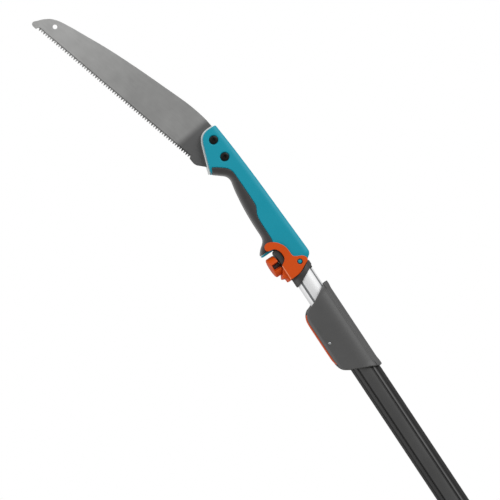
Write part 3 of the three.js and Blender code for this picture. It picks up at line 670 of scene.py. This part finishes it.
for z, level in zip(BOLT_HEIGHTS, ("upper", "lower")):
    bolt = turned(f"button_bolt_{level}", [
        (0, -14.4), (4.2, -14.4), (5.2, -14.2), (6.0, -13.7), (6.4, -13.0), (6.5, -12.4),
        (6.5, -11.2), (3, -11.2), (3, 13.4), (2.6, 13.8), (0, 13.8)], "y", (BOLT_X, 0, z))
    carve(bolt, bore("socket", 2.6, -20, -12, "y", (BOLT_X, 0, z), 6))
    smooth(bolt, 24)
    bolt.data.materials.append(black_oxide)
    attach(bolt, "saw_head")
    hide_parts(f"blade_bolt_{level}")
    nut = turned(f"hex_nut_{level}", [
        (3.3, 10.9), (5.8, 10.9), (5.8, 13.6), (5.3, 14), (3.3, 14)], "y", (BOLT_X, 0, z), 6)
    rim = nut.modifiers.new("rim", "BEVEL")
    rim.width = 0.25 * MM
    rim.segments = 2
    bake(nut)
    nut.data.materials.append(zinc_plate)
    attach(nut, "saw_head")
    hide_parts(f"blade_nut_{level}")


# ---------------------------------------------------------------------------------------
# Coupling bracket: one orange glass-filled nylon moulding. Two cheeks hold the handle's
# boss and the end plug, and a wall on the finger side carries two grip fins.
# Orange glass-filled nylon: strong even colour under a satin grain.
orange_nylon = moulded("orange_glass_filled_nylon", "#E15300", "#D94E00", 0.5, 0.03,
                       (0.36, 0.46), **{"IOR": 1.5, "Specular IOR Level": 0.3})
# Painted highlight: the corners by the thumb are painted pale, and made a little glossier.
orange_painted_highlight = moulded("orange_nylon_painted_highlight", "#FFA47C", "#F58E62", 0.5, 0.02, (0.3, 0.4),
                      **{"IOR": 1.5, "Specular IOR Level": 0.3})
HIGHLIGHT_WIDTH = 1.0
CHEEK_INNER, CHEEK_OUTER = 13.3, 16.5
KNOB_Z = 23.2
CHEEK = [
    (-30.4, 52.5, 5), (-26.6, 58.3, 5), (-20, 58.6, 5), (-9.6, 52.7, 6), (-0.6, 39, 8),
    (-0.6, 22.2, 4), (3.4, 18.6, 4), (12.8, 14.6, 4), (16.6, 9, 4), (16.2, 4.4, 3),
    (8.4, 1, 6), (2.4, -2.5, 6), (-5.6, -5.6, 6), (-12, -6.4, 4), (-22.3, -6.6, 0.6),
    (-22.3, 18, 1), (-13.4, 23.4, 3), (-11.4, 29, 5), (-12.4, 38, 6), (-17.4, 45.6, 5),
    (-28.4, 47, 5),
]
FIN = [
    (-19, 16.6), (-21.8, 16.6, 1), (-30, 2.8, 1), (-30, 0.6, 0.8), (-25.2, -1.2, 0.6),
    (-24.8, -7.4, 0.8), (-23.4, -7.6, 0.6), (-21.5, -6.6), (-19, -6.4),
]


def block(name, low, high):
    """A box between two corners in mm."""
    (a, b, c), (d, e, f) = low, high
    ring = [Vector(p) for p in ((a, c), (d, c), (d, f), (a, f))]
    return prism(name, ring, b, e)


bracket = prism("coupling_fork", rounded(CHEEK), -CHEEK_OUTER, -CHEEK_INNER)
far_cheek = prism("far_cheek", rounded(CHEEK), CHEEK_INNER, CHEEK_OUTER)
for cheek in (bracket, far_cheek):
    carve(cheek, bore("boss_hole", 4.2, -20, 20, "y", (BOSS[0], 0, BOSS[1])))
fins = prism("fins", rounded(FIN), -13.5, 13.5)
carve(fins, bore("knob_room", 16.2, -50, -22.3, "x", (0, 0, KNOB_Z), 64))
wall = block("wall", (-22.3, -CHEEK_OUTER, -6.5), (-18.7, CHEEK_OUTER, 16.8))
gather(bracket, far_cheek, fins, wall)
soften(bracket, 0.55, 3)
bracket.data.materials.append(orange_nylon)
bracket.data.materials.append(orange_painted_highlight)
# Faces close along the cheeks' outer corners, low down by the thumb, take the painted highlight.
for panel in bracket.data.polygons:
    spot = panel.center
    from_corner = math.hypot(spot.x / MM + 22.1, abs(spot.y) / MM - 16.3)
    if from_corner < HIGHLIGHT_WIDTH and spot.z < DATUM + 18 * MM:
        panel.material_index = 1
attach(bracket, "saw_head")
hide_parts("coupling_bracket")


# ---------------------------------------------------------------------------------------
# End plug: dark nylon moulding pushed into the inner tube and pinned by a screw. Its
# slanted collar caps the tube's end and its core fills the gap between the cheeks.
# Charcoal nylon: a warm dark grey, duller than the orange it sits under.
charcoal_nylon = moulded("charcoal_glass_filled_nylon", "#3E3C3B", "#363433", 0.6, 0.04,
                         (0.42, 0.54), IOR=1.5)
PLUG_CORE = [
    (-21, 19, 1), (-21, 39, 5), (-19, 43.3, 2), (-15.6, 43.3, 2), (-12.3, 37, 3),
    (-12.3, 14, 4), (-8.4, 7, 2), (-7.4, 0.4, 3), (0, -0.8, 3), (8.2, 0.2, 4),
    (16, 5, 1), (16, -8), (-18.4, -8), (-18.4, 18.4),
]
COLLAR_TOP = [
    (-22, -7.4), (-12, -7, 4), (-5.6, -6.2, 6), (2.4, -3.1, 6), (8.4, 0.4, 6), (16.2, 3.8, 2),
    (22, 4.4),
]
SLANT_RISE, SLANT_MIDDLE = 0.49, -12.8
PLUG_SCREW_Z = -28
TUBE_OUTER, TUBE_INNER = 16.5, 15.1


def under_slant(lift):
    """Everything below the slanted plane of the tube's end, raised by lift."""
    rise = 40 * SLANT_RISE
    middle = SLANT_MIDDLE + lift
    ring = [(-40, middle - rise), (40, middle + rise), (40, -1600), (-40, -1600)]
    return prism("under_slant", [Vector(p) for p in ring], -40, 40)


def under_cheeks():
    """Everything below the curved edge of the cheeks, with room under them."""
    return prism("under_cheeks", rounded(COLLAR_TOP + [(22, -60), (-22, -60)]), -20, 20)


collar = carve(bore("collar", 18.9, -30, 10, "z", sides=96), under_cheeks(),
               operation="INTERSECT")
carve(collar, under_slant(0))
core = prism("nylon_end_plug", rounded(PLUG_CORE), -12.9, 12.9)
seat = turned("tube_seat", [(TUBE_INNER - 0.3, -60), (TUBE_OUTER + 0.3, -60),
                            (TUBE_OUTER + 0.3, -1.7), (TUBE_INNER - 0.3, -1.7)], "z", sides=96)
carve(seat, under_slant(6.3), operation="INTERSECT")
spigot = carve(bore("spigot", TUBE_INNER - 0.3, -45, -3, "z", sides=96), under_cheeks(),
               operation="INTERSECT")
plug = gather(core, collar, spigot)
soften(plug, 0.7, 0)
carve(plug, seat, bore("insert_bore", 6.3, -30, -16.4, "x", (0, 0, KNOB_Z)),
      bore("pad_bore", 6.4, -16.5, -5, "x", (0, 0, KNOB_Z)),
      bore("screw_hole", 1.9, 5, 20, "y", (0, 0, PLUG_SCREW_Z)))
soften(plug, 0.6, 2)
plug.data.materials.append(charcoal_nylon)
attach(plug, "saw_head")
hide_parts("end_plug")


# ---------------------------------------------------------------------------------------
# Clamp screw: a three-lobed orange knob pressed on a dark hub and a steel stud. The stud
# runs in a brass insert in the plug and carries a nylon pad on its inner end.
KNOB_RADIUS = 15.4
KNOB_FACE, KNOB_BACK = -36.2, -23
SLOT_FACE = -34.6
SLOT_WIDTH = 10
REST_TURN = math.radians(5)
knob = turned("clamp_knob_grip", [
    (0, KNOB_FACE), (13.2, KNOB_FACE), (14.5, KNOB_FACE + 0.4), (KNOB_RADIUS, KNOB_FACE + 1.4),
    (KNOB_RADIUS, KNOB_BACK - 1.2), (14.6, KNOB_BACK - 0.3), (13.6, KNOB_BACK),
    (0, KNOB_BACK)], "x", (0, 0, KNOB_Z), 72)
slots = []
for k in range(3):
    slot = block("slot", (SLOT_FACE, -20, -SLOT_WIDTH / 2), (-20, -6, SLOT_WIDTH / 2))
    slot.data.transform(Matrix.Translation((0, 0, -DATUM)))
    slot.data.transform(Matrix.Rotation(k * 2 * math.pi / 3 + REST_TURN, 4, "X"))
    slot.data.transform(Matrix.Translation((0, 0, DATUM + KNOB_Z * MM)))
    slots.append(slot)
carve(knob, *slots, bore("hub_bore", 6.5, -33.5, -20, "x", (0, 0, KNOB_Z)))
soften(knob, 0.45, 2)
knob.data.materials.append(orange_nylon)
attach(knob, "clamp_knob")
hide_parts("thumb_knob")

# Unfilled black nylon of the sliding parts: smoother and glossier.
black_nylon = moulded("black_nylon", "#1B1B1B", "#151515", 0.5, 0.03, (0.34, 0.46), IOR=1.5)
hub = turned("clamp_hub", [
    (0, -33.2), (5.6, -33.2), (6.2, -32.7), (6.2, -22.3), (5.8, -21.8), (4.4, -21.8),
    (4.4, -32.7), (0, -32.7)], "x", (0, 0, KNOB_Z))
smooth(hub)
hub.data.materials.append(charcoal_nylon)
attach(hub, "clamp_knob")
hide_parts("knob_hub")

# Turned brass with fine circular tool lines.
turned_brass, tree, shader = surface("turned_brass", **{"Metallic": 1.0, "Roughness": 0.3})
place = add(tree, "ShaderNodeTexCoord").outputs["Object"]
TOOL_LINE = 0.4 * MM
lines = add(tree, "ShaderNodeTexWave", {
    "Vector": place, "Scale": 1 / (2 * math.pi * TOOL_LINE), "Distortion": 0.4},
    bands_direction="X").outputs["Fac"]
tone = two_tone(tree, lines, "#A88848", "#C2A264")
tree.links.new(tone, shader.inputs["Base Color"])
for name, finish in (("thread_insert", turned_brass), ("clamp_stud", zinc_plate),
                     ("clamp_pad", black_nylon)):
    nodes[name].material_slots[0].material = finish


# ---------------------------------------------------------------------------------------
# Pan-head screws: cold-formed zinc-plated steel with a cross recess, all driven in from
# the far side into posts of the handle, the bracket, the plug and the lock housing.
HOUSING_SCREWS = [(-23.4, -72), (-23.4, -95), (-23.4, -156)]
screw = turned("screw", [
    (0, -17.5), (1.5, -16), (1.5, 0), (3.2, 0), (3.2, 0.7), (2.9, 1.4), (2.1, 2.0),
    (1.1, 2.2), (0, 2.2)], "y", (0, 0, 0), 24)
cross = [block("arm", (-1.5, 1.1, -0.32), (1.5, 4, 0.32)),
         block("arm", (-0.32, 1.1, -1.5), (0.32, 4, 1.5))]
carve(screw, *cross)
screw.data.transform(Matrix.Translation((0, 0, -DATUM)))
smooth(screw, 28)


def screw_set(name, seats):
    """All the screws of one body: the pan-head screw set at each seat (x, y, z)."""
    holder = put(name, seats, [])
    tree, given = nodes_of("screw_set", ("Screw", "NodeSocketObject"),
                           ("Finish", "NodeSocketMaterial"))
    shape = add(tree, "GeometryNodeObjectInfo", {"Object": given["Screw"]}).outputs["Geometry"]
    each = add(tree, "GeometryNodeInstanceOnPoints", {
        "Points": given["Geometry"], "Instance": shape}).outputs[0]
    real = add(tree, "GeometryNodeRealizeInstances", {"Geometry": each}).outputs[0]
    coat = add(tree, "GeometryNodeSetMaterial", {"Geometry": real, "Material": given["Finish"]})
    add(tree, "NodeGroupOutput", {"Geometry": coat.outputs[0]})
    return grow(holder, tree, {"Screw": screw, "Finish": zinc_plate})


BRACKET_SCREWS = [(-13.5, -1.5), (-15.6, 12.6)]
head_screws = screw_set("saw_head_screws", [(x, 11, z) for x, z in SHELL_SCREWS]
                        + [(x, 16.6, z) for x, z in BRACKET_SCREWS] + [(0, 16.7, PLUG_SCREW_Z)])
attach(head_screws, "saw_head")
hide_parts("shell_screw_1", "shell_screw_2", "shell_screw_3",
            "bracket_screw_1", "bracket_screw_2", "plug_screw")
pole_screws = screw_set("lock_housing_screws", [(x, 10, z) for x, z in HOUSING_SCREWS])
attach(pole_screws, "outer_pole")
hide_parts("housing_screw_1", "housing_screw_2", "housing_screw_3")
bpy.data.objects.remove(screw)


# ---------------------------------------------------------------------------------------
# Inner tube: extruded aluminium, silver anodised, with four guide grooves down it and a
# row of lock holes on the finger side. A nylon slider is pinned into its lower end.
def tube(name, outer, inner, bottom, top, features, sides=240):
    """A tube whose outside is lowered, or raised, in bands at given angles from -Y."""
    corners = []
    for z in (bottom, top):
        for wall in ("outer", "inner"):
            for k in range(sides):
                angle = 360 * k / sides
                radius = inner
                if wall == "outer":
                    radius = outer
                    for middle, width, depth in features:
                        off = abs((angle - middle + 180) % 360 - 180) * math.pi / 180 * outer
                        edge_share = min(max((width / 2 + 0.25 - off) / 0.5, 0), 1)
                        radius -= depth * edge_share
                turn = math.radians(angle)
                corners.append((radius * math.sin(turn), -radius * math.cos(turn), z))
    faces = []
    for k in range(sides):
        j = (k + 1) % sides
        low_out, low_in, top_out, top_in = (n * sides for n in range(4))
        faces += [(low_out + k, low_out + j, top_out + j, top_out + k),
                  (low_in + k, low_in + j, top_in + j, top_in + k),
                  (low_out + k, low_out + j, low_in + j, low_in + k),
                  (top_out + k, top_out + j, top_in + j, top_in + k)]
    return put(name, corners, faces)


def drawn_metal(name, pale, deep, rough, **values):
    """Extruded metal: long die lines run down the tube under an even dull sheen."""
    material, tree, shader = surface(name, **values)
    place = add(tree, "ShaderNodeTexCoord").outputs["Object"]
    die_line = 1.1 * MM
    run = add(tree, "ShaderNodeMapping", {
        "Vector": place, "Scale": (1 / die_line, 1 / die_line, 0.004 / die_line)})
    lines = add(tree, "ShaderNodeTexNoise", {
        "Vector": run.outputs[0], "Scale": 1.0, "Detail": 4.0}).outputs["Fac"]
    tone = two_tone(tree, lines, deep, pale)
    tree.links.new(tone, shader.inputs["Base Color"])
    dull_by(tree, shader, lines, *rough)
    raise_by(tree, shader, lines, 0.15, 0.04)
    return material


# Silver anodised skin: pale and diffuse, so the tube reads as light with faint long lines.
silver_anodised = drawn_metal("silver_anodised_aluminium", "#FEFEFF", "#F9FAFB", (0.42, 0.5),
                              Metallic=0.12)
# Painted shade: the grooves are painted a darker grey, as shade lying in them.
groove_painted_shade = drawn_metal("anodised_aluminium_painted_groove_shade", "#8E9092", "#7C7E80", (0.45, 0.55),
                          Metallic=0.12)
LOCK_PIN_Z = -138
STOP_PITCH = 260
GUIDE_GROOVES = [(angle, 3, 0.9) for angle in (-41, 49, 139, 229)]
inner = tube("anodised_inner_tube", TUBE_OUTER, TUBE_INNER, -INNER_TUBE_LENGTH, 12,
             GUIDE_GROOVES)
carve(inner, under_slant(6), operation="INTERSECT")
carve(inner, *[bore("stop", 4, -25, -10, "x", (0, 0, LOCK_PIN_Z - k * STOP_PITCH), 36)
               for k in range(6)],
      bore("plug_hole", 1.9, 10, 25, "y", (0, 0, PLUG_SCREW_Z), 24),
      bore("pin_hole", 1.8, -25, 25, "y", (0, 0, -1484), 24))
smooth(inner, 24)
inner.data.materials.append(silver_anodised)
inner.data.materials.append(groove_painted_shade)
# Faces down the guide grooves take the painted shade.
for panel in inner.data.polygons:
    reach = math.hypot(panel.center.x, panel.center.y) / MM
    if TUBE_OUTER - 1.1 < reach < TUBE_OUTER - 0.1 and abs(panel.normal.z) < 0.5:
        panel.material_index = 1
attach(inner, "saw_head")
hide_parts("inner_tube")
nodes["slider_bush"].material_slots[0].material = black_nylon
nodes["slider_pin"].material_slots[0].material = zinc_plate


# ---------------------------------------------------------------------------------------
# Outer tube: extruded aluminium in a dark plastic skin. The face down the near and far sides
# between fine grooves is paler, a painted highlight. A nylon guide bush sits in its mouth.
OUTER_RADIUS, OUTER_BORE = 20, 18.5
FACES = (-12, 168)
# Dark matt skin: the eye sees a near-black tube with only soft highlights.
outer_skin = moulded("dark_plastic_coated_aluminium", "#232323", "#1E1E1E", 0.9, 0.05,
                     (0.4, 0.52), IOR=1.5)
# Painted highlights: the faces are painted paler, and one ridge beside each paler still.
face_painted_highlight = moulded("plastic_skin_painted_highlight", "#525252", "#494949", 0.9, 0.05, (0.36, 0.46),
                    IOR=1.5)
ridge_painted_highlight = moulded("plastic_ridge_painted_highlight", "#646464", "#585858", 0.9, 0.04, (0.3, 0.4),
                      IOR=1.5)
bands = []
for face in FACES:
    bands += [(face + away * 27, 2.6, 1.0) for away in (-1, 1)]
    bands += [(face + away * 50, 2.4, 0.8) for away in (-1, 1)]
outer = tube("coated_outer_tube", OUTER_RADIUS, OUTER_BORE, 4.3 - DATUM / MM, -60, bands)
carve(outer, bore("pin_way", 3.4, -30, -10, "x", (0, 0, LOCK_PIN_Z), 36))
smooth(outer, 24)
outer.data.materials.append(outer_skin)
outer.data.materials.append(face_painted_highlight)
outer.data.materials.append(ridge_painted_highlight)
# Panels on the near and far faces take the painted highlight, and one ridge beside each a brighter
# one.
for panel in outer.data.polygons:
    at = math.degrees(math.atan2(panel.center.x, -panel.center.y))
    if math.hypot(panel.center.x, panel.center.y) < (OUTER_BORE + 0.2) * MM:
        continue
    for face in FACES:
        off = abs((at - face + 180) % 360 - 180)
        if off < 22.5:
            panel.material_index = 1
        elif 35 < (at - face + 180) % 360 - 180 < 41:
            panel.material_index = 2
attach(outer, "outer_pole")
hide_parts("outer_tube")
nodes["guide_bush"].material_slots[0].material = black_nylon


# ---------------------------------------------------------------------------------------
# Lock housing: two dark nylon shells screwed together round both tubes, with flared lips.
# They swell into a nose on the finger side, slotted for the release lever.
# Dark grey nylon: a fine matt grain that keeps the rounded housing evenly grey.
dark_nylon = moulded("dark_grey_glass_filled_nylon", "#5E5E5E", "#555555", 0.6, 0.04,
                     (0.42, 0.54), IOR=1.5)
HOUSING_RADIUS = 23.5
LIP_RADIUS = 24.3
SLOT_HALF = 5.9
SHADOW_LINE, SHADOW_AWAY = math.radians(34.4), 23.9
NOSE_X, NOSE_Y, NOSE_RADIUS = -25.4, 4.5, 9.6
PIVOT_X, PIVOT_Z = -26.6, -117
HOUSING_SIDE = [
    (17, -37, 1), (25, -36.4, 1.2), (25, -185, 1.5), (18.6, -185.6, 2), (-18, -168.4, 4),
    (-29, -161.4, 5), (-33.4, -152.6, 6), (-35, -140, 8), (-35, -78, 8), (-33.4, -67, 6),
    (-26, -58, 6), (-16, -55.4, 3),
]
spots = [Vector((x + radius * math.cos(a), y + radius * math.sin(a)))
         for x, y, radius in ((0, 0, HOUSING_RADIUS), (NOSE_X, NOSE_Y, NOSE_RADIUS),
                              (NOSE_X, -NOSE_Y, NOSE_RADIUS))
         for a in (2 * math.pi * k / 72 for k in range(72))]
section = [spots[i] for i in convex_hull_2d(spots)]
for side, way in (("near", -1), ("far", 1)):
    count = len(section)
    shell = put(f"lock_shell_{side}",
                [(p.x, p.y, z) for z in (-190, -30) for p in section],
                [list(range(count)), list(range(2 * count - 1, count - 1, -1))]
                + [(i, (i + 1) % count, count + (i + 1) % count, count + i)
                   for i in range(count)])
    gather(shell, turned("top_lip", [(0, -52), (HOUSING_RADIUS - 0.4, -52), (LIP_RADIUS, -43),
                                     (LIP_RADIUS, -30), (0, -30)], "z", sides=96),
           turned("low_lip", [(0, -190), (LIP_RADIUS, -190), (LIP_RADIUS, -179),
                              (HOUSING_RADIUS - 0.4, -168), (0, -168)], "z", sides=96))
    soften(shell, 0.7, 0)
    low, high = sorted((way * SEAM, way * 30))
    carve(shell, prism("side", rounded(HOUSING_SIDE), low, high), operation="INTERSECT")
    tools = [bore("outer_room", OUTER_RADIUS + 0.3, -200, -57.3, "z", sides=96),
             bore("inner_room", TUBE_OUTER + 0.5, -60, 0, "z", sides=96),
             block("lever_slot", (-40, -SLOT_HALF, -152), (-25.4, SLOT_HALF, -61)),
             block("press_room", (-30, -SLOT_HALF, -74), (-22.8, SLOT_HALF, -62)),
             block("spring_room", (-26, -SLOT_HALF, -128), (-21.6, SLOT_HALF, -106)),
             block("pin_room", (-26, -5, -144), (-19, 5, -132)),
             bore("shadow_line", 1.7, -200, -20, "z",
                  (SHADOW_AWAY * math.sin(SHADOW_LINE), way * SHADOW_AWAY * math.cos(SHADOW_LINE), 0)),
             bore("pivot_hole", 1.8, -20, 20, "y", (PIVOT_X, 0, PIVOT_Z))]
    if way > 0:
        tools += [bore("screw_seat", 3.6, 9.7, 20, "y", (x, 0, z)) for x, z in HOUSING_SCREWS]
    carve(shell, *tools)
    soften(shell, 0.75, 3)
    shell.data.materials.append(dark_nylon)
    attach(shell, "outer_pole")
    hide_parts(f"lock_housing_{side}")
pin = turned("lever_pivot", [
    (0, -15), (1.2, -14.9), (2, -14.5), (2.2, -14.1), (1.5, -14.1), (1.5, 14.1), (2.2, 14.1),
    (2, 14.5), (1.2, 14.9), (0, 15)], "y",
    (PIVOT_X, 0, PIVOT_Z), 32)
smooth(pin)
pin.data.materials.append(zinc_plate)
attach(pin, "outer_pole")
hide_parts("lever_pin")
nodes["lever_spring"].material_slots[0].material = zinc_plate
nodes["lock_pin"].material_slots[0].material = zinc_plate


# ---------------------------------------------------------------------------------------
# Release lever: orange nylon rocker on the pivot pin. Pressed at its upper end, it lifts
# the lock pin at its lower end out of the inner tube's hole.
LEVER = [
    (-30.2, -62.8, 0.8), (-27.8, -65.6, 0.8), (-31, -71.4, 5), (-32.2, -79, 6),
    (-32.2, -108, 3), (-28.6, -112.4, 3), (-23.2, -112.6, 3), (-22, -117, 4),
    (-23.2, -121.4, 3), (-28.6, -121.6, 3), (-31.6, -126, 3), (-31.6, -133.4, 1),
    (-27.4, -133.4, 0.6), (-27.4, -142.6, 0.6), (-31.4, -142.6, 1), (-31, -149.6, 0.8),
    (-32.9, -149.8, 0.8), (-34.9, -145, 5), (-35.6, -138, 8), (-35.6, -78, 8), (-34.4, -68.4, 5),
]
LEVER_HALF = 5.5
lever = prism("lock_release_lever", rounded(LEVER), -LEVER_HALF, LEVER_HALF)
carve(lever, bore("pivot_hole", 1.8, -20, 20, "y", (PIVOT_X, 0, PIVOT_Z)),
      block("spring_slot", (-32, -4, -124), (-20, 4, -110)),
      bore("pin_hole", 2.9, -32.5, -20, "x", (0, 0, LOCK_PIN_Z), 36),
      bore("pin_head_room", 4.6, -33.8, -31, "x", (0, 0, LOCK_PIN_Z), 36))
soften(lever, 0.4, 2)
lever.data.materials.append(orange_nylon)
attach(lever, "release_lever")
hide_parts("release_lever")


# ---------------------------------------------------------------------------------------
# End cap: a moulded rubber cup pushed over the outer tube's foot, with three shallow grip
# rings round it and a flat underside that the saw can be stood on.
# Moulded rubber: black and quite matt.
moulded_rubber = moulded("moulded_black_rubber", "#1E1E1E", "#181818", 0.8, 0.05, (0.7, 0.85),
                         IOR=1.5)
FOOT = -DATUM / MM
cap_side = [(0, 0), (20.4, 0), (21.4, 0.4), (22.2, 1.3), (22.6, 2.6)]
for ring_height in (13, 19, 25):
    cap_side += [(22.5, ring_height - 1.4), (21.9, ring_height - 0.5),
                 (21.9, ring_height + 0.5), (22.5, ring_height + 1.4)]
cap_side += [(22.3, 40), (22.0, 41.4), (21.2, 42), (20.3, 42), (20.3, 4), (18.2, 4),
             (18.2, 30), (16, 30), (16, 4), (0, 4)]
cap = turned("rubber_end_cap", [(r, FOOT + h) for r, h in cap_side], "z", sides=96)
smooth(cap, 40)
cap.data.materials.append(moulded_rubber)
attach(cap, "outer_pole")
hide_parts("end_cap")
